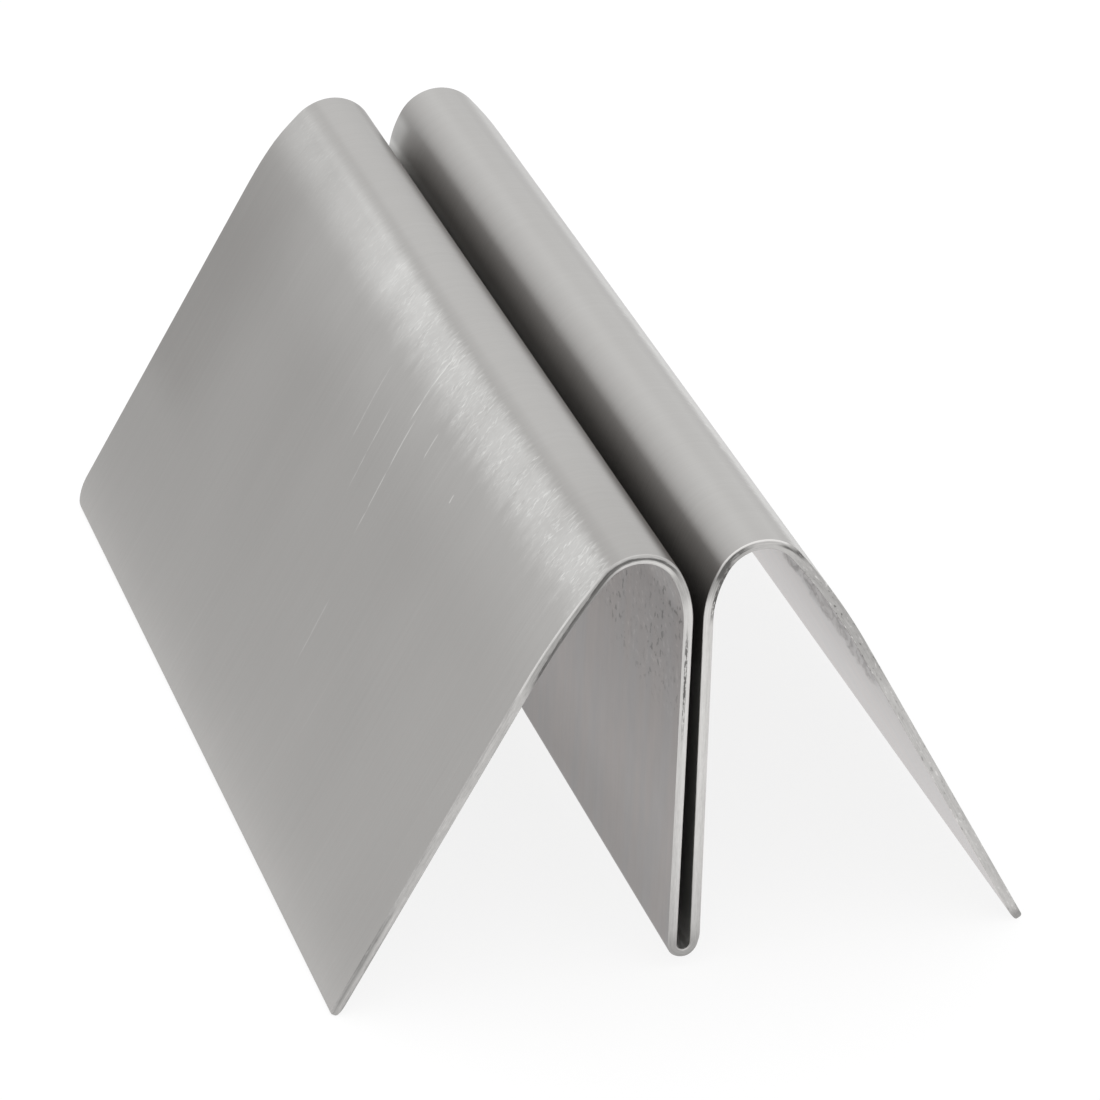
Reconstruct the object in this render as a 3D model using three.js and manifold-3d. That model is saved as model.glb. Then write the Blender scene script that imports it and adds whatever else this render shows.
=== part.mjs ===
// Table menu holder, folded from one strip of brushed stainless sheet.
//
// Seen from the end the strip draws a narrow M. In the middle it doubles back in a tight root fold,
// so that two nearly upright walls stand side by side and pinch a card between them. Each wall rolls
// outwards over a rounded crest and comes down as a straight, leaning leg. The holder stands on the
// lower edges of its two legs.
//
// Millimetres, +Z up, +Y along the slot, origin on the table under the middle of the slot.

import * as THREE from 'three';
import { mergeVertices, toCreasedNormals } from 'three/addons/utils/BufferGeometryUtils.js';
import Module from 'manifold-3d';

// Driving dimensions: lengths in mm, angles in degrees. Bend radii are inside radii.
const LENGTH = 100;              // along the slot
const HEIGHT = 41.8;             // from the table to the top of the crests
const SHEET = 0.9;               // sheet thickness
const ROOT_CLEARANCE = 0.92;     // from the table to the underside of the root fold
const ROOT_RADIUS = 0.58;        // root fold, which sets the slot's width at its root
const WALL_LEAN = 0.25;          // each wall from upright, towards the other, so that the slot pinches
const SHOULDER_RADIUS = 9.5;     // first part of the roll from wall to crest
const SHOULDER_TURN = 29;        // how far the shoulder turns
const CREST_RADIUS = 3.43;       // tight part of the roll, over the top
const FLARE_RADIUS = 64;         // slow curve from the crest into the leg
const FLARE_TURN = 10.4;         // how far the flare turns
const LEG_LEAN = 28.9;           // each leg from upright
const FRONT_CORNER_RADIUS = 0.3; // leg corners at the front end, in the plane of the leg
const REAR_CORNER_RADIUS = 2.6;  // leg corners at the rear end

// Modelling settings
const ARC_DIVISIONS = 10;        // half the number of facets on each bend
const CUT_MARGIN = 1;            // how far a cutter reaches past the metal
const CREASE = 30;               // sharper edges than this are shaded as edges, in degrees

const STEEL = new THREE.MeshStandardMaterial({ color: 0xa3a2a0, metalness: 0.9, roughness: 0.42 });

const rad = THREE.MathUtils.degToRad;
const unit = (angle) => new THREE.Vector2(Math.cos(angle), Math.sin(angle));

// The middle line of the sheet, in the profile plane: x across, y up.

// Bends of the right half in order from wall to leg, each { centre, radius, from, to, ... } of the
// middle line. The wall's length follows from the height, and the leg's from standing on the table.
function layOutRightHalf() {
  const lean = rad(WALL_LEAN);
  const legLean = rad(LEG_LEAN);
  const shoulderTurn = rad(SHOULDER_TURN);
  const flareTurn = rad(FLARE_TURN);
  const crestTurn = Math.PI - legLean + lean - shoulderTurn - flareTurn;
  const turns = [
    { radius: SHOULDER_RADIUS + SHEET / 2, turn: shoulderTurn },
    { radius: CREST_RADIUS + SHEET / 2, turn: crestTurn },
    { radius: FLARE_RADIUS + SHEET / 2, turn: flareTurn },
  ];

  // Walk the bends from a wall top at height 0, each centre lying on the line from the last one
  // through the point where the two arcs meet.
  const rootRadius = ROOT_RADIUS + SHEET / 2;
  const rootCentre = new THREE.Vector2(0, ROOT_CLEARANCE + SHEET + ROOT_RADIUS);
  let joint = new THREE.Vector2(0, 0);
  let heading = lean;
  const bends = turns.map(({ radius, turn }) => {
    const centre = joint.clone().addScaledVector(unit(heading), radius);
    const bend = { centre, radius, from: Math.PI + heading, to: Math.PI + heading - turn };
    heading -= turn;
    joint = centre.clone().addScaledVector(unit(heading), -radius);
    return { ...bend, clockwise: true, topIsOutside: true };
  });

  // Lift the bends so that the crest tops out at HEIGHT, and set them out from the wall's foot.
  const crest = bends[1];
  const wallTop = HEIGHT - SHEET / 2 - crest.radius - crest.centre.y;
  const wallFoot = rootCentre.clone().addScaledVector(unit(lean), rootRadius);
  const wallOffset = wallFoot.x - (wallTop - wallFoot.y) * Math.tan(lean);
  const shift = new THREE.Vector2(wallOffset, wallTop);
  bends.forEach((bend) => bend.centre.add(shift));

  const legTop = joint.add(shift);
  const legDown = new THREE.Vector2(Math.sin(legLean), -Math.cos(legLean));
  const legOut = new THREE.Vector2(Math.cos(legLean), Math.sin(legLean));
  const legEndHeight = (SHEET / 2) * Math.sin(legLean);
  const legLength = (legTop.y - legEndHeight) / Math.cos(legLean);
  const legEnd = legTop.clone().addScaledVector(legDown, legLength);

  const root = {
    centre: rootCentre,
    radius: rootRadius,
    from: Math.PI - lean,
    to: 2 * Math.PI + lean,
    clockwise: false,
    topIsOutside: false,
  };
  return { root, bends, legEnd, legDown, legOut };
}

const mirrored = (point) => new THREE.Vector2(-point.x, point.y);

const mirrorBends = (bends) => bends.map((bend) => ({
  ...bend,
  centre: mirrored(bend.centre),
  from: Math.PI - bend.from,
  to: Math.PI - bend.to,
  clockwise: !bend.clockwise,
}));

const reverseBends = (bends) => [...bends].reverse().map((bend) => ({
  ...bend,
  from: bend.to,
  to: bend.from,
  clockwise: !bend.clockwise,
}));

// Profile of the sheet: along its top side from left to right and back along its underside.
function sheetProfile({ root, bends, legEnd, legOut }) {
  const run = [...reverseBends(mirrorBends(bends)), root, ...bends];
  const topCorner = legEnd.clone().addScaledVector(legOut, SHEET / 2);
  const lowCorner = legEnd.clone().addScaledVector(legOut, -SHEET / 2);
  const shape = new THREE.Shape();
  const follow = (list, side) => list.forEach((bend) => {
    const offset = (bend.topIsOutside ? side : -side) * (SHEET / 2);
    shape.absarc(bend.centre.x, bend.centre.y, bend.radius + offset, bend.from, bend.to, bend.clockwise);
  });
  shape.moveTo(-lowCorner.x, lowCorner.y);
  shape.lineTo(-topCorner.x, topCorner.y);
  follow(run, 1);
  shape.lineTo(topCorner.x, topCorner.y);
  shape.lineTo(lowCorner.x, lowCorner.y);
  follow(reverseBends(run), -1);
  shape.closePath();
  return shape;
}

// What a leg loses at one corner: the corner of a square outside its quarter circle, as a prism
// through the sheet. x runs in from the end of the strip, y up the leg, z through the sheet.
function cornerCutter(radius) {
  const shape = new THREE.Shape();
  shape.moveTo(-CUT_MARGIN, -CUT_MARGIN);
  shape.lineTo(radius, -CUT_MARGIN);
  shape.absarc(radius, radius, radius, 1.5 * Math.PI, Math.PI, true);
  shape.lineTo(-CUT_MARGIN, radius);
  shape.closePath();
  const depth = SHEET + 2 * CUT_MARGIN;
  const geometry = new THREE.ExtrudeGeometry(shape, {
    depth,
    bevelEnabled: false,
    curveSegments: ARC_DIVISIONS,
  });
  return geometry.translate(0, 0, -depth / 2);
}

const wasm = await Module();
wasm.setup();

function toSolid(geometry) {
  const bare = geometry.clone();
  bare.deleteAttribute('normal');
  bare.deleteAttribute('uv');
  const merged = mergeVertices(bare);
  return new wasm.Manifold(new wasm.Mesh({
    numProp: 3,
    vertProperties: new Float32Array(merged.attributes.position.array),
    triVerts: new Uint32Array(merged.index.array),
  }));
}

function toGeometry(solid) {
  const { vertProperties, triVerts } = solid.getMesh();
  const geometry = new THREE.BufferGeometry();
  geometry.setAttribute('position', new THREE.BufferAttribute(vertProperties, 3));
  geometry.setIndex(new THREE.BufferAttribute(triVerts, 1));
  return toCreasedNormals(geometry, rad(CREASE));
}

// The folded strip: its profile drawn out along the slot, less the four leg corners.
function foldedSheet() {
  const half = layOutRightHalf();
  const strip = new THREE.ExtrudeGeometry(sheetProfile(half), {
    depth: LENGTH,
    bevelEnabled: false,
    curveSegments: ARC_DIVISIONS,
  });
  strip.rotateX(Math.PI / 2);
  strip.translate(0, LENGTH / 2, 0);

  let solid = toSolid(strip);
  const ends = [
    { y: -LENGTH / 2, radius: FRONT_CORNER_RADIUS },
    { y: LENGTH / 2, radius: REAR_CORNER_RADIUS },
  ];
  for (const side of [-1, 1]) {
    for (const { y, radius } of ends) {
      const inwards = new THREE.Vector3(0, -Math.sign(y), 0);
      const upLeg = new THREE.Vector3(-side * half.legDown.x, 0, -half.legDown.y);
      const through = new THREE.Vector3().crossVectors(inwards, upLeg);
      const place = new THREE.Matrix4().makeBasis(inwards, upLeg, through);
      place.setPosition(side * half.legEnd.x, y, half.legEnd.y);
      solid = solid.subtract(toSolid(cornerCutter(radius).applyMatrix4(place)));
    }
  }

  const mesh = new THREE.Mesh(toGeometry(solid), STEEL);
  mesh.name = 'folded_sheet';
  return mesh;
}

const menuHolder = new THREE.Group();
menuHolder.name = 'menu_holder';
menuHolder.add(foldedSheet());

export default menuHolder;
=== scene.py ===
import math

import bmesh
import bpy
from mathutils import Matrix, Vector


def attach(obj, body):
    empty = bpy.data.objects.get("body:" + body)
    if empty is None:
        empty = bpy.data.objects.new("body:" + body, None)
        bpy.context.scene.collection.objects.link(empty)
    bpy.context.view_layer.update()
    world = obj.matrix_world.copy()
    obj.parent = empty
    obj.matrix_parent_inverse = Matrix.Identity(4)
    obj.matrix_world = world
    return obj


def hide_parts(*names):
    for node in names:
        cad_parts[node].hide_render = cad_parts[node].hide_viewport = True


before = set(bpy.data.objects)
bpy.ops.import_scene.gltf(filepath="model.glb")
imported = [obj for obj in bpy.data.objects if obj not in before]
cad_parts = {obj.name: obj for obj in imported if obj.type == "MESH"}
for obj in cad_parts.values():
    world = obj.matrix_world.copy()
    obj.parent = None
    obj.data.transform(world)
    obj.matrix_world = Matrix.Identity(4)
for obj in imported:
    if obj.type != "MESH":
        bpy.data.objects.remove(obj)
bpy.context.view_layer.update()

# Folded strip: shape
# The whole holder is one strip of stainless sheet. It is sheared to size, brushed along its length and folded
# on a press: a tight root fold across its middle, a roll over each crest, and a straight leg at each end.
MM = 0.001
LENGTH = 100 * MM                      # along the slot
HEIGHT = 41.8 * MM                     # from the table to the crests
SHEET = 0.9 * MM
ROOT_CLEARANCE = 0.92 * MM             # from the table to the root fold
ROOT_RADIUS = 0.58 * MM + SHEET / 2    # radii are those of the middle of the sheet
SHOULDER_RADIUS = 9.5 * MM + SHEET / 2
CREST_RADIUS = 3.43 * MM + SHEET / 2
FLARE_RADIUS = 64 * MM + SHEET / 2
WALL_LEAN = math.radians(0.25)
SHOULDER_TURN = math.radians(29)
FLARE_TURN = math.radians(10.4)
LEG_LEAN = math.radians(28.9)
CREST_TURN = math.pi - LEG_LEAN + WALL_LEAN - SHOULDER_TURN - FLARE_TURN
FRONT_CORNER = 0.3 * MM
REAR_CORNER = 2.6 * MM
ROLLOVER = 0.18 * MM                   # soft edge that the shear leaves on the side it enters
DEBURRED = 0.06 * MM                   # filed edge on the side it leaves
OUTER_NOSE = 0.33 * MM                 # rounding of the leg ends on the outer side of the sheet
INNER_NOSE = 0.42 * MM                 # and on the inner side, which stands on the table
INNER_NOSE_LENGTH = 1.3 * MM           # how far up the leg that one starts
ROOT_THINNING = 0.19 * MM              # what the sheet loses outside the tight root fold, at its bottom
CORNER_THINNING = 0.135 * MM           # and what it loses besides at the fold's corner on the right
WALL_FOOT = 0.9 * MM                   # how far up the right wall that reaches
SLACK_LEFT = 0.4 * MM                  # how far the left roll stands out at the rear end
SLACK_RIGHT = 0.18 * MM                # and the right one
SLACK_START = 44 * MM                  # where along the strip that begins
SLACK_PEAK = 50 * MM                   # and where it is greatest
SLACK_KEPT = 0.35                      # the part of it that is left where the leg begins
TOUCHING = 0.01 * MM                   # points on the blank that are closer than this are at one place
SHARP = math.radians(60)               # least angle of an edge that gets softened


class Fold:
    """One length of the strip, flat or bent. A turn is to the left as the strip runs outwards."""

    def __init__(self, length, turn=0.0, facets=1):
        self.length = length
        self.turn = turn
        self.facets = facets


def bend(radius, turn, facets):
    return Fold(radius * abs(turn), turn, facets)


def follow(folds, along):
    """Place and heading of the sheet's middle, at a distance along the folds from the root's lowest point."""
    place = Vector((0, ROOT_CLEARANCE + SHEET / 2))
    heading = 0.0
    for fold in folds:
        part = min(along, fold.length)
        along -= part
        curve = fold.turn / fold.length if fold.length else 0
        if curve:
            turned = heading + curve * part
            rise = math.cos(heading) - math.cos(turned)
            place += Vector((math.sin(turned) - math.sin(heading), rise)) / curve
            heading = turned
        else:
            place += part * Vector((math.cos(heading), math.sin(heading)))
    return place, heading


# The wall is as long as the height asks, and the leg as long as it takes to stand on the table with its
# rounded end. The foot of the wall has cuts of its own, because it thins out with the root fold.
root = bend(ROOT_RADIUS, math.pi / 2 + WALL_LEAN, facets=14)
foot = Fold(WALL_FOOT, facets=4)
wall = Fold(0)
shoulder = bend(SHOULDER_RADIUS, -SHOULDER_TURN, facets=12)
crest = bend(CREST_RADIUS, -CREST_TURN, facets=36)
flare = bend(FLARE_RADIUS, -FLARE_TURN, facets=10)
leg = Fold(0)
folds = [root, foot, wall, shoulder, crest, flare, leg]
to_shoulder_end = root.length + foot.length + shoulder.length
climb = CREST_RADIUS * follow(folds, to_shoulder_end)[1]
crest_top = follow(folds, to_shoulder_end + climb)[0].y + SHEET / 2
wall.length = (HEIGHT - crest_top) / math.cos(WALL_LEAN)
leg_start = sum(fold.length for fold in folds)
leg_top = follow(folds, leg_start)[0].y
nose_drop = INNER_NOSE_LENGTH * math.cos(LEG_LEAN)
nose_reach = INNER_NOSE * math.sin(LEG_LEAN)
nose_gap = nose_drop + nose_reach - math.hypot(nose_drop, nose_reach)
leg.length = (leg_top - SHEET / 2 * math.sin(LEG_LEAN) + nose_gap) / math.cos(LEG_LEAN)
half_blank = leg_start + leg.length

# Half of the flat blank grows outwards from the root line, with a cut wherever the sheet will bend.
bm = bmesh.new()
root_line = [bm.verts.new((0, end * LENGTH / 2, 0)) for end in (-1, 1)]
outer_edge = bm.edges.new(root_line)
for fold in folds:
    for _ in range(fold.facets):
        grown = bmesh.ops.extrude_edge_only(bm, edges=[outer_edge])["geom"]
        new_verts = [item for item in grown if isinstance(item, bmesh.types.BMVert)]
        bmesh.ops.translate(bm, verts=new_verts, vec=(fold.length / fold.facets, 0, 0))
        outer_edge = bm.edges.get(new_verts)
bmesh.ops.mirror(bm, geom=bm.verts[:] + bm.edges[:] + bm.faces[:], axis="X", merge_dist=TOUCHING)
bmesh.ops.recalc_face_normals(bm, faces=bm.faces[:])
bm.normal_update()
if bm.faces[:][0].normal.z < 0:
    bmesh.ops.reverse_faces(bm, faces=bm.faces[:])

# Its four corners are rounded, less at the front than at the rear.
for end, radius in ((-1, FRONT_CORNER), (1, REAR_CORNER)):
    corners = [
        vert for vert in bm.verts
        if abs(vert.co.x) > half_blank - TOUCHING and end * vert.co.y > LENGTH / 2 - TOUCHING
    ]
    bmesh.ops.bevel(
        bm, geom=corners, offset=radius, offset_type="OFFSET", affect="VERTICES",
        segments=10, profile=0.5, material=-1,
    )

# The sheet gets its thickness, and its sheared edges lose their sharpness.
bmesh.ops.solidify(bm, geom=bm.faces[:], thickness=SHEET)
bmesh.ops.recalc_face_normals(bm, faces=bm.faces[:])
lowest = min(vert.co.z for vert in bm.verts)
bmesh.ops.translate(bm, verts=bm.verts[:], vec=(0, 0, -lowest - SHEET / 2))
bm.normal_update()
for side, softness in ((1, ROLLOVER), (-1, DEBURRED)):
    rim = [
        edge for edge in bm.edges
        if all(side * vert.co.z > SHEET / 4 for vert in edge.verts)
        and edge.calc_face_angle(0) > SHARP
    ]
    bmesh.ops.bevel(
        bm, geom=rim, offset=softness, offset_type="OFFSET", affect="EDGES",
        segments=4, profile=0.5, material=-1,
    )

# The leg ends are rounded through the sheet, so that they don't scratch the table. For that they are cut at
# these parts of the longer rounding, closest at the very end.
NOSE_CUTS = (0.02, 0.06, 0.12, 0.2, 0.31, 0.45, 0.62, 0.81, 1.0)
for cut in NOSE_CUTS:
    for end in (-1, 1):
        bmesh.ops.bisect_plane(
            bm, geom=bm.verts[:] + bm.edges[:] + bm.faces[:], dist=TOUCHING / 100,
            plane_co=(end * (half_blank - cut * INNER_NOSE_LENGTH), 0, 0), plane_no=(1, 0, 0),
        )
for vert in bm.verts:
    to_end = max(half_blank - abs(vert.co.x), 0)
    if vert.co.z > 0:
        nose, nose_length = OUTER_NOSE, OUTER_NOSE
    else:
        nose, nose_length = INNER_NOSE, INNER_NOSE_LENGTH
    if to_end < nose_length:
        lost = nose * (1 - math.sqrt(1 - (1 - to_end / nose_length) ** 2))
        vert.co.z *= 1 - lost / (SHEET / 2)
bm.normal_update()

# Every face is marked while the blank is flat: by its side for the finish, and in the blank's own measures
# for the grain, which then follows the strip round its bends. The cut edges are measured along and through.
TOP_SIDE, UNDERSIDE, CUT_EDGE = range(3)
FACING = 0.9                           # how squarely a face of either side looks up or down
ENDS_APART = 2 * LENGTH                # keeps the measures of the leg ends clear of those of the long edges
blank_map = bm.loops.layers.uv.new("blank")
for face in bm.faces:
    face.smooth = True
    tilt = face.normal.z
    face.material_index = TOP_SIDE if tilt > FACING else UNDERSIDE if tilt < -FACING else CUT_EDGE
    at_leg_end = abs(face.normal.x) > abs(face.normal.y)
    for loop in face.loops:
        flat = loop.vert.co
        if face.material_index == CUT_EDGE:
            loop[blank_map].uv = (flat.y + ENDS_APART if at_leg_end else flat.x, flat.z)
        else:
            loop[blank_map].uv = (flat.x, flat.y)


def ease(value, low, high):
    """0 below low and 1 above high, with a smooth step between them."""
    part = min(max((value - low) / (high - low), 0), 1)
    return part * part * (3 - 2 * part)


def slack_at(along):
    """How far a roll or its leg stands out at the rear, as a part of the most that it does."""
    if along > leg_start:
        return SLACK_KEPT * (half_blank - along) / leg.length
    return ease(along, SLACK_START, SLACK_PEAK) - (1 - SLACK_KEPT) * ease(along, SLACK_PEAK, leg_start)


# Then the blank is folded, which stretches it thinner round the outside of the root. Towards the rear the
# rolls are slacker and stand out a little where they run into the legs, more on the left than on the right.
for vert in bm.verts:
    along = abs(vert.co.x)
    on_right = vert.co.x > 0
    thinned_to = root.length + (foot.length if on_right else 0)
    if vert.co.z < 0 and along < thinned_to:
        turned = math.pi * along / thinned_to
        thinning = ROOT_THINNING * (1 + math.cos(turned)) / 2
        if on_right:
            thinning += CORNER_THINNING * math.sin(turned) ** 2
        vert.co.z *= 1 - thinning / (SHEET / 2)
    to_rear = vert.co.y / LENGTH + 0.5
    slack = slack_at(along) * to_rear * (SLACK_RIGHT if on_right else SLACK_LEFT)
    place, heading = follow(folds, along)
    place += (vert.co.z + slack) * Vector((-math.sin(heading), math.cos(heading)))
    vert.co = (math.copysign(place.x, vert.co.x), vert.co.y, place.y)

mesh = bpy.data.meshes.new("folded_strip")
bm.to_mesh(mesh)
bm.free()
strip = bpy.data.objects.new("folded_strip", mesh)
bpy.context.scene.collection.objects.link(strip)
flat_faces_flat = strip.modifiers.new("flat_faces_flat", "WEIGHTED_NORMAL")
flat_faces_flat.mode = "FACE_AREA"
flat_faces_flat.weight = 50

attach(strip, "root")
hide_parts("folded_sheet")


# Folded strip: finish
# The outer side is brushed along the strip. The side that ends up inside the legs keeps a duller, warmer mill
# finish, and the edges are bare sheared metal.
def set_stops(ramp, stops):
    for position, _ in stops[1:-1]:
        ramp.elements.new(position)
    for element, (position, grey) in zip(ramp.elements, stops):
        element.position = position
        element.color = (grey, grey, grey, 1)


class Wire:
    """A shader socket. Sums on it add Math nodes, and node() adds any other node to its material."""

    def __init__(self, tree, socket=None):
        self.tree = tree
        self.socket = socket

    def node(self, kind, settings=None, sockets=None, output=0):
        """Adds a node: its settings first, then values or links for its sockets. Returns one output."""
        made = self.tree.nodes.new("ShaderNode" + kind)
        for name, value in (settings or {}).items():
            if name == "stops":
                set_stops(made.color_ramp, value)
            else:
                setattr(made, name, value)
        for name, value in (sockets or {}).items():
            if isinstance(value, Wire):
                self.tree.links.new(value.socket, made.inputs[name])
            else:
                made.inputs[name].default_value = value
        return Wire(self.tree, made.outputs[output]) if len(made.outputs) else None

    def math(self, operation, first, second=0.0):
        return self.node("Math", {"operation": operation}, {0: first, 1: second})

    def __add__(self, other):
        return self.math("ADD", self, other)

    def __sub__(self, other):
        return self.math("SUBTRACT", self, other)

    def __rsub__(self, other):
        return self.math("SUBTRACT", other, self)

    def __mul__(self, other):
        return self.math("MULTIPLY", self, other)

    __radd__ = __add__
    __rmul__ = __mul__

    def __abs__(self):
        return self.math("ABSOLUTE", self)

    def between(self, low, high):
        """0 below low and 1 above high, with a smooth step between them. High may be below low."""
        settings = {"interpolation_type": "SMOOTHSTEP"}
        return self.node("MapRange", settings, {"Value": self, "From Min": low, "From Max": high})

    def within(self, low, high, soft):
        """1 from low to high and 0 outside, with a smooth step as wide as soft centred on each."""
        return self.between(low - soft / 2, low + soft / 2) * self.between(high + soft / 2, high - soft / 2)

    def scaled(self, factors):
        """This vector, with each of its parts times a factor."""
        return self.node("VectorMath", {"operation": "MULTIPLY"}, {0: self, 1: factors})

    def turned(self, degrees):
        """This vector, turned in the plane of the blank."""
        return self.node("Mapping", {}, {"Vector": self, "Rotation": (0, 0, math.radians(degrees))})

    def noise(self, stretch, detail=2.0, roughness=0.5):
        """Noise on a vector, with stretch the size of its grains along and across."""
        place = self.scaled((1 / stretch[0], 1 / stretch[1], 1))
        return self.node(
            "TexNoise", {"noise_dimensions": "3D"},
            {"Vector": place, "Scale": 1.0, "Detail": detail, "Roughness": roughness},
        )

    def mix(self, first, second):
        """A colour between two others, by this factor."""
        sockets = {"Factor": self, 6: first, 7: second}
        return self.node("Mix", {"data_type": "RGBA"}, sockets, output=2)


def new_material(name):
    """A material without nodes, and a wire to start from."""
    material = bpy.data.materials.new(name)
    material.use_nodes = True
    material.node_tree.nodes.clear()
    return material, Wire(material.node_tree)


def on_blank(start):
    """The blank's own measures in millimetres: the whole vector, and its two parts."""
    blank = start.node("UVMap", {"uv_map": "blank"}).scaled((1 / MM, 1 / MM, 1))
    first = start.node("SeparateXYZ", {}, {0: blank}, "X")
    second = start.node("SeparateXYZ", {}, {0: blank}, "Y")
    return blank, first, second


RELIEF = 0.02 * MM                     # how deep the grain of each finish is


def metal(start, colour, roughness, height):
    """Bare metal with a varying colour, roughness and relief."""
    normal = start.node("Bump", {}, {"Strength": 1.0, "Distance": RELIEF, "Height": height})
    surface = start.node(
        "BsdfPrincipled", {},
        {"Base Color": colour, "Metallic": 1.0, "Roughness": roughness, "Normal": normal},
    )
    start.node("OutputMaterial", {}, {"Surface": surface})


# The finishes are laid out in millimetres on the blank. Along it they count from the root line: each wall
# ends at 34, its crest tops out at 43, and the leg runs from 58 to 93. Across it they go from -50 at the
# front to 50 at the rear. A light of 0 is a finish's dark colour, and 1 its pale one.

# Brushed side, with a fine grain along the strip
HAIRLINE = 0.0005                      # how sharply the left half is told from the right one
BRUSHED_DARK = (0.172, 0.159, 0.151, 1)
BRUSHED_PALE = (0.722, 0.72, 0.708, 1)
brushed, start = new_material("brushed_top_side")
blank, lengthways, across = on_blank(start)
along = abs(lengthways)
left_half = lengthways.between(HAIRLINE, -HAIRLINE)
right_half = 1 - left_half
fine_grain = blank.noise((16, 0.24), detail=3)
long_grain = blank.noise((70, 0.6))
grain = 0.6 * fine_grain + 0.4 * long_grain - 0.5
clouds = blank.noise((26, 15)) - 0.5
stray_lines = blank.noise((14, 0.2), detail=1).between(0.74, 0.82)

# From the slot up to the crest the metal is darker, a painted shade, most of all on the left near the top.
# The left leg has painted shade towards its rear end. The top of the crest is lighter, a painted highlight,
# more so on the right.
at_front = across.between(-25, -48)
painted_shade = along.within(32, 39, 3) * (1 - 0.7 * across.between(43, 50))
painted_shade = painted_shade + 1.6 * left_half * along.within(38, 40.7, 1.2) * (1 + at_front)
painted_shade = painted_shade + 0.75 * left_half * along.within(50, 76, 6) * across.between(28, 46)
crest_highlight = along.within(41, 45, 2) * (1 - 0.6 * left_half * at_front)
crest_highlight = crest_highlight + 0.5 * right_half * along.within(39.8, 42.5, 1.4)
crest_highlight = crest_highlight + 0.3 * right_half * along.within(43, 45, 1)

# In the slot, and along a line at the slot's mouth which comes further up at the rear end, the metal is
# painted brighter, as painted light where light would reach in.
slot_painted_light = along.between(31, 27) + 0.8 * along.between(5, 1.5)
slot_painted_light = slot_painted_light + along.within(34, 36, 0.8) * across.between(-45, 40)
slot_painted_light = slot_painted_light + along.within(35.4, 38.4, 1) * across.between(45, 48)

# A painted highlight lies along each roll where it runs out into the leg, wider towards the front and weaker
# on the right. It starts on a thin line of painted shade with a ragged fringe and fades down the leg.
BAND_START = 45.4
BAND_FULL = 47.5                       # its bright part weakens from here on
BAND_END = 51.7
FADE_START = 47                        # and the rest of it more slowly from here on
FADE_END = 62
BAND_SPREAD = 0.01                     # how much further down it reaches for each length towards the front
towards_front = across.between(30, -10)
fringe = 1.2 * (blank.noise((1.6, 0.45), detail=3, roughness=0.6) - 0.5)
ragged = along + fringe * (0.3 + 0.7 * towards_front)
strokes = 4 * (blank.noise((6, 1.3)) - 0.5) * (0.25 + 0.75 * towards_front)
spread = ragged + BAND_SPREAD * across
painted_shade_line = along.within(44.3, BAND_START, 0.7)
onset = (ragged + 0.4 * (1 - towards_front)).between(BAND_START - 0.5, BAND_START + 1)
patches = 0.85 + 0.3 * blank.noise((9, 7)).between(0.3, 0.7)
bright_part = (spread + strokes).between(BAND_END, BAND_FULL)
fading_part = spread.between(FADE_END, FADE_START)
in_middle = 0.3 * across.within(-12, 22, 12) - 0.3 * across.between(26, 44)
weaker = right_half * (0.68 - 0.43 * towards_front)
strength = 1 + left_half * in_middle - weaker
# glow is the painted highlight of the band
glow = onset * patches * (0.65 * bright_part + 0.35 * fading_part) * strength

# The painted highlight is broken into short painted glints along hairs of the grain, which also raise the
# relief, with dark gaps between them, in clumps and most of all at the front.
HAIR = (1.0, 0.32)
HAIR_TURNS = (-24, -7, 8, 25)          # degrees from the grain
HAIRS_FULL = 47                        # they thin out from here on
HAIRS_END = 52
GAP = (1.2, 0.36)
GAP_TURN = 8
glint_hairs = 0.0
for turn in HAIR_TURNS:
    glint_hairs = glint_hairs + blank.turned(turn).noise(HAIR, detail=1).between(0.59, 0.7)
glint_gaps = blank.turned(GAP_TURN).noise(GAP, detail=1).between(0.4, 0.28)
clumps = blank.noise((3, 1.6)).between(0.38, 0.6)
glinting = ragged.between(BAND_START - 0.4, BAND_START + 0.4)
glinting = glinting * (spread + strokes).between(HAIRS_END, HAIRS_FULL)
glinting = glinting * (0.3 + 0.7 * clumps) * (0.3 + 0.7 * towards_front)
glint_hairs = glint_hairs * glinting
glint_gaps = glint_gaps * glinting

# Scratches down the left leg, each with its place along the slot, where it starts and ends on the strip, and
# how bright it is. The last one is a single bright nick.
SCRATCHES = (
    (-7.0, 46.6, 53.2, 1.0),
    (-7.8, 53.6, 64.2, 0.8),
    (-2.3, 55.0, 62.6, 0.55),
    (1.9, 52.6, 59.6, 0.45),
    (-13.0, 52.0, 54.4, 0.7),
    (-9.6, 71.5, 77.6, 0.4),
    (-21.6, 53.9, 54.7, 1.0),
)
SCRATCH_SLANT = 0.07
SLANT_FROM = 55
SCRATCH_WIDTH = 0.16
SCRATCH_TAPER = 0.25                   # the part of its length over which one sets in or ends
broken = blank.noise((1.6, 0.5)).between(0.3, 0.55)
slanted = across + (along - SLANT_FROM) * SCRATCH_SLANT
scratches = 0.0
for place, first, last, brightness in SCRATCHES:
    line = abs(slanted - place).between(SCRATCH_WIDTH, SCRATCH_WIDTH / 4)
    run = along.within(first, last, SCRATCH_TAPER * (last - first))
    scratches = scratches + brightness * line * run
scratches = scratches * broken * left_half

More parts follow.
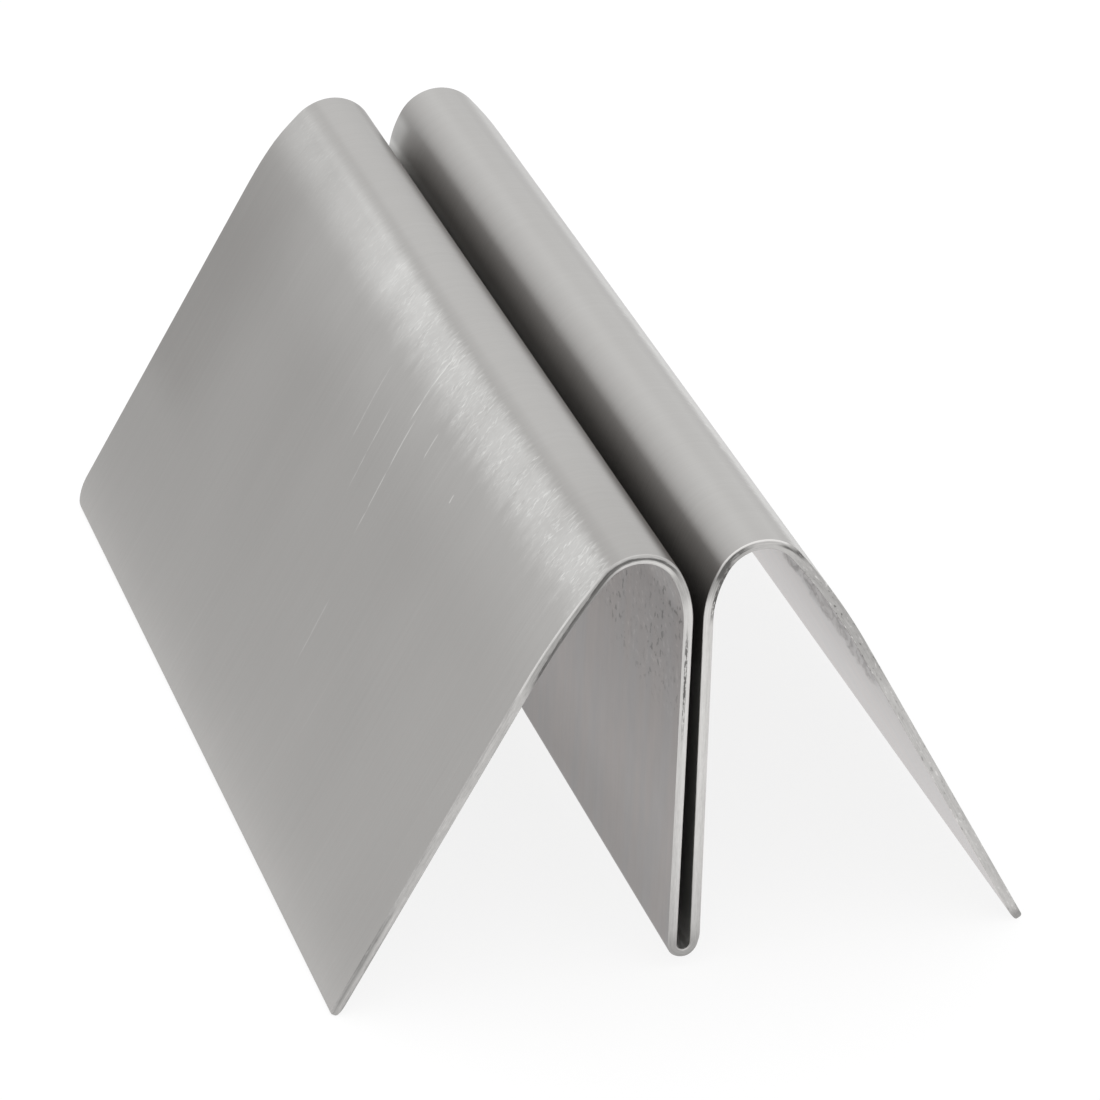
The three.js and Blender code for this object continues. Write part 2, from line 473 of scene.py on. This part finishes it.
# The colour sums the grain and scratches with painted shade, painted light in the slot and painted highlights
# on the crests and the bands.
light = 0.39 + 0.09 * grain + 0.06 * clouds - 0.12 * painted_shade + 0.1 * crest_highlight + 0.3 * slot_painted_light
light = light - 0.04 * painted_shade_line + 0.32 * glow + 0.18 * glint_hairs - 0.11 * glint_gaps
light = light + 0.36 * scratches + 0.07 * stray_lines
colour = light.mix(BRUSHED_DARK, BRUSHED_PALE)
rough = 0.41 + 0.06 * clouds + 0.04 * glow
metal(start, colour, rough, grain + 0.4 * glint_hairs)
mesh.materials.append(brushed)

# Mill side, with soft streaks along the strip, some warmer than others. From the upper wall to the end of the
# crest the metal is pressed together, which leaves small dark pits and pale flecks.
MILL_DARK = (0.245, 0.235, 0.2315, 1)
MILL_DARK_WARM = (0.255, 0.236, 0.2285, 1)
MILL_PALE = (0.622, 0.604, 0.602, 1)
MILL_PALE_WARM = (0.642, 0.608, 0.596, 1)
mill, start = new_material("mill_underside")
blank, lengthways, across = on_blank(start)
along = abs(lengthways)
fine_streaks = blank.noise((9, 0.45), detail=3)
wide_streaks = blank.noise((30, 2.5))
streaks = 0.6 * fine_streaks + 0.4 * wide_streaks - 0.5
mottle = blank.noise((4, 1.8), detail=3) - 0.5
warmth = blank.noise((18, 3)).between(0.35, 0.65)
pressed = along.within(24, 47, 6) * (0.3 + 0.7 * abs(across).between(12, 34))
crowded = blank.noise((5, 5)).between(0.42, 0.6)
pits = blank.noise((0.9, 0.9), roughness=0.6)
dark_pits = pits.between(0.56, 0.66) * pressed * (0.25 + 0.75 * crowded)
pale_flecks = pits.between(0.42, 0.32) * pressed
# Painted shade: darker inside the roll under the crest, and towards the root fold near the table.
shade_inside_roll = along.within(37, 48, 4)
shade_near_root = along.between(14, 2)

# Inside the legs, near the front end, the press has left dark marks. They run aslant, with a wavy end to each
# and blots and outlines in it.
MARK_SLANT = 0.7                       # how far they move down the leg for each length towards the rear
MARKS_START = 79
MARKS_END = 97
diagonal = along - MARK_SLANT * across
on_diagonal = start.node("CombineXYZ", {}, {"X": diagonal, "Y": across})
wavy = 16 * (on_diagonal.noise((3.5, 60), detail=1) - 0.5) + 10 * (on_diagonal.noise((1.1, 30)) - 0.5)
reach = across + wavy + 1.3 * (diagonal - 83.5)
marked = reach.between(-26, -30) * diagonal.within(MARKS_START, MARKS_END, 3)
outlines = abs(on_diagonal.noise((1.3, 9)) - 0.5).between(0.08, 0.02)
blots = on_diagonal.noise((1.4, 8)).between(0.46, 0.58)
marks = marked * (0.45 + 0.35 * blots + 0.5 * outlines)

light = 0.73 + 0.24 * streaks + 0.15 * mottle - 0.6 * dark_pits + 0.2 * pale_flecks
light = light - 0.43 * marks - 0.12 * shade_inside_roll - 0.25 * shade_near_root
dark = warmth.mix(MILL_DARK, MILL_DARK_WARM)
pale = warmth.mix(MILL_PALE, MILL_PALE_WARM)
colour = light.mix(dark, pale)
rough = 0.4 + 0.08 * streaks + 0.08 * marks
metal(start, colour, rough, streaks - 0.5 * dark_pits)
mesh.materials.append(mill)

# Sheared edge, streaked along the cut and torn in places. Its depth runs from the inner side of the sheet, at
# minus half its thickness, to the outer one.
SHEARED_DARK = (0.131, 0.128, 0.124, 1)
SHEARED_PALE = (0.73, 0.718, 0.703, 1)
sheared, start = new_material("sheared_edge")
blank, lengthways, depth = on_blank(start)
along = abs(lengthways)
left_half = lengthways.between(HAIRLINE, -HAIRLINE)
right_half = 1 - left_half
drawn = blank.noise((3.5, 0.09), detail=3) - 0.5
torn = blank.noise((0.7, 0.16), detail=3, roughness=0.6)
level = depth + 0.2 * (torn - 0.5)

# The walls are sheared clean and bright, brightest towards the slot, with dark specks near the top where the
# cut broke off.
on_wall = along.within(2.5, 36, 2)
clean_cut = on_wall * (0.6 + 0.4 * level.between(-0.2, 0.2))
left_specks = left_half * along.between(20, 27) * along.between(34, 31)
left_specks = left_specks * level.within(-0.18, 0.06, 0.1)
right_specks = right_half * along.within(34, 39, 2)
right_specks = right_specks * level.within(-0.45, -0.15, 0.1)
specks = torn.between(0.41, 0.52) * (left_specks + right_specks)

# Over the crests the shear tore a dark band into the cut. On the left it starts under the outer skin, above a
# bright arc, and drifts through the sheet as far as the leg, under a dull skin and a rim with a painted
# highlight.
# On the right it is a dark patch before the top and a shorter one after it, which climbs to the outer rim.
# The outer rim over the right crest has a painted highlight too.
drift = level + 0.08 + 0.026 * (along - 40)
thick = 0.12 * along.within(43.5, 48, 2)
left_roll = left_half * along.within(39, 57.5, 3)
left_band = left_roll * drift.between(-0.04, 0.1) * (drift - thick).between(0.38, 0.22)
on_flare = left_half * along.within(46, 58, 3)
dull_skin = on_flare * (drift.between(0.2, 0.35) + 1.6 * drift.between(0.1, -0.05))
patchy = 0.5 + 0.5 * blank.noise((1.2, 0.3), detail=3).between(0.38, 0.58)
before_top = along.within(37.8, 41.5, 2) * (0.4 + 0.75 * level.within(-0.12, 0.28, 0.15))
climbing = level - 0.1 - 0.1 * (along - 45)
after_top = along.within(44.6, 47.2, 1.4) * abs(climbing).between(0.22, 0.06)
band = left_band + right_half * patchy * (before_top + after_top)
shaded_bend = along.within(36, 39.5, 2) * (1 + 0.6 * right_half)
arc = left_half * along.within(39, 45, 1.5) * level.within(-0.4, -0.04, 0.1)
# painted highlight on the outer rim of the cut, over the left flare and the right crest
left_rim = left_half * along.within(46.5, 59, 3)
right_rim = right_half * along.within(38, 45, 1)
rim_highlight = (left_rim + right_rim) * depth.between(0.26, 0.36)

# The legs are cut more coarsely, with pale and dark grains, coarsest at the top of the right one. The right
# one ends dark. The left one has a pale streak near its end, beside painted shade on the outer part of the
# cut.
leg_end = half_blank / MM
on_leg = along.between(46, 52)
grains = blank.noise((0.8, 0.28), detail=3)
blotches = on_leg * (blank.noise((4, 0.6)) - 0.5)
torn_leg = right_half * along.within(47, 62, 4)
coarse = on_leg * (0.4 + 0.6 * right_half) + 0.7 * torn_leg
pale_grains = coarse * grains.between(0.58, 0.72)
dark_grains = coarse * grains.between(0.4, 0.28)
at_tip = right_half * along.within(leg_end - 1.2, leg_end + 2, 1.4)
near_tip = left_half * along.within(leg_end - 11, leg_end - 1, 5)
tip_shade = near_tip * level.between(0.05, 0.2)
tip_streak = near_tip * level.within(-0.3, 0, 0.1)

light = 0.6 + 0.4 * drawn + 0.3 * (torn - 0.5) + 0.25 * clean_cut - 0.75 * specks
light = light + 0.2 * arc + 0.55 * rim_highlight - 0.55 * band - 0.2 * dull_skin - 0.12 * shaded_bend
light = light + 0.25 * pale_grains - 0.25 * dark_grains + 0.25 * blotches - 0.14 * torn_leg
light = light + 0.15 * tip_streak - 0.25 * tip_shade - 0.3 * at_tip
colour = light.mix(SHEARED_DARK, SHEARED_PALE)
rough = 0.32 + 0.15 * torn + 0.1 * band
metal(start, colour, rough, drawn + torn)
mesh.materials.append(sheared)

# Floor
# A plain white table top that the holder stands on. It takes the soft shadow, and shows white to the camera
# and in the metal. What the metal mirrors of it is painted light in zones to the right, ahead and beside the
# left leg, and a painted shadow under the holder's left half.
FLOOR_SIZE = 6.0
FLOOR_GAP = 0.02 * MM                  # below the legs, so that the two never share a plane
WHITE = (1, 1, 1, 1)
FLOOR_GREY = (0.16, 0.16, 0.16, 1)     # what it takes of the light, and so of the shadow
FLOOR_SHOWN = 0.85                     # what it shows by itself to the camera
FLOOR_MIRRORED = 0.52                  # and in the metal
OPEN_MIRRORED = 0.43                   # more of it where the light reaches it freely
LEG_REACH = 32 * MM                    # from the middle to the ends of the legs
ZONE_EDGE = 6 * MM                     # how softly a brighter strip of it ends
floor_mesh = bpy.data.meshes.new("floor")
bm = bmesh.new()
bmesh.ops.create_grid(bm, x_segments=1, y_segments=1, size=FLOOR_SIZE / 2)
bmesh.ops.translate(bm, verts=bm.verts[:], vec=(0, 0, -FLOOR_GAP))
bm.to_mesh(floor_mesh)
bm.free()
floor = bpy.data.objects.new("floor", floor_mesh)
bpy.context.scene.collection.objects.link(floor)

table_white, start = new_material("table_white")
lit = start.node("BsdfDiffuse", {}, {"Color": FLOOR_GREY})
seen = start.node("LightPath", {}, {}, "Is Camera Ray")
mirrored = start.node("LightPath", {}, {}, "Is Glossy Ray")
through = start.node("LightPath", {}, {}, "Is Transmission Ray")
place = start.node("TexCoord", {}, {}, "Object")
across = start.node("SeparateXYZ", {}, {0: place}, "X")
back = start.node("SeparateXYZ", {}, {0: place}, "Y")
# Zones of painted light in the mirrored floor, and only a little under the holder's left half, a painted
# shadow.
on_right = across.between(-2 * MM, 14 * MM)
under_left = 0.25 * across.within(-LEG_REACH, 0, ZONE_EDGE)
ahead = back.within(-170 * MM, -60 * MM, 30 * MM)
beside_left = 1.25 * across.within(-41 * MM, -LEG_REACH, ZONE_EDGE)
floor_painted_light = 0.0
for zone in (on_right, under_left, ahead, beside_left):
    floor_painted_light = start.math("MAXIMUM", floor_painted_light, zone)
shown = FLOOR_SHOWN * (seen + through) + mirrored * (FLOOR_MIRRORED + OPEN_MIRRORED * floor_painted_light)
glow = start.node("Emission", {}, {"Color": WHITE, "Strength": shown})
both = start.node("AddShader", {}, {0: lit, 1: glow})
start.node("OutputMaterial", {}, {"Surface": both})
floor_mesh.materials.append(table_white)

# Light
# A soft white dome, dimmer towards the horizon, with a small soft box near the left leg and a larger, weaker
# one behind on the right.
DOME_STOPS = [(0.0, 0.66), (0.08, 0.74), (0.3, 1.02), (0.5, 1.17), (1.0, 1.15)]
world = bpy.data.worlds.new("studio")
bpy.context.scene.world = world
world.use_nodes = True
world.node_tree.nodes.clear()
start = Wire(world.node_tree)
direction = start.node("TexCoord", {}, {}, "Generated")
height = start.node("SeparateXYZ", {}, {0: direction}, "Z")
dome = start.node("ValToRGB", {"stops": DOME_STOPS}, {0: height})
background = start.node("Background", {}, {"Color": dome, "Strength": 1.0})
start.node("OutputWorld", {}, {"Surface": background})


def soft_box(name, side, height, distance, size, radiance):
    """A soft box aimed at the holder, with its angles round from straight behind to the right, and up."""
    lamp = bpy.data.lights.new(name, "AREA")
    lamp.shape = "RECTANGLE"
    lamp.size, lamp.size_y = size
    lamp.energy = radiance * math.pi * size[0] * size[1]
    box = bpy.data.objects.new(name, lamp)
    bpy.context.scene.collection.objects.link(box)
    side, height = math.radians(side), math.radians(height)
    level = Vector((math.sin(side), math.cos(side), 0))
    towards = math.cos(height) * level + Vector((0, 0, math.sin(height)))
    box.location = distance * towards
    box.rotation_euler = towards.to_track_quat("Z", "Y").to_euler()


soft_box("soft_box_left", side=-65, height=12, distance=0.32, size=(0.2, 0.16), radiance=0.8)
soft_box("soft_box_right", side=45, height=14, distance=0.9, size=(0.45, 0.3), radiance=0.3)

# Camera
# It stands at the front left and above, and looks down at the holder through a long lens.
LENS = 177.64                          # in millimetres, as the sensor is
SENSOR = 36
CAMERA_PLACE = (-0.13700, -0.43136, 0.25591)
CAMERA_RIGHT = (0.95544, -0.29387, 0.02798)
CAMERA_FORWARD = (0.27222, 0.84045, -0.46855)
GLOSSY_BOUNCES = 12                    # light reaches into the slot by many reflections
camera_data = bpy.data.cameras.new("camera")
camera_data.sensor_width = SENSOR
camera_data.lens = LENS
camera = bpy.data.objects.new("camera", camera_data)
bpy.context.scene.collection.objects.link(camera)
right = Vector(CAMERA_RIGHT)
forward = Vector(CAMERA_FORWARD)
aim = Matrix((right, right.cross(forward), -forward)).transposed()
camera.matrix_world = Matrix.Translation(CAMERA_PLACE) @ aim.to_4x4()
bpy.context.scene.camera = camera

bpy.context.scene.view_settings.view_transform = "Standard"
bpy.context.scene.cycles.glossy_bounces = GLOSSY_BOUNCES
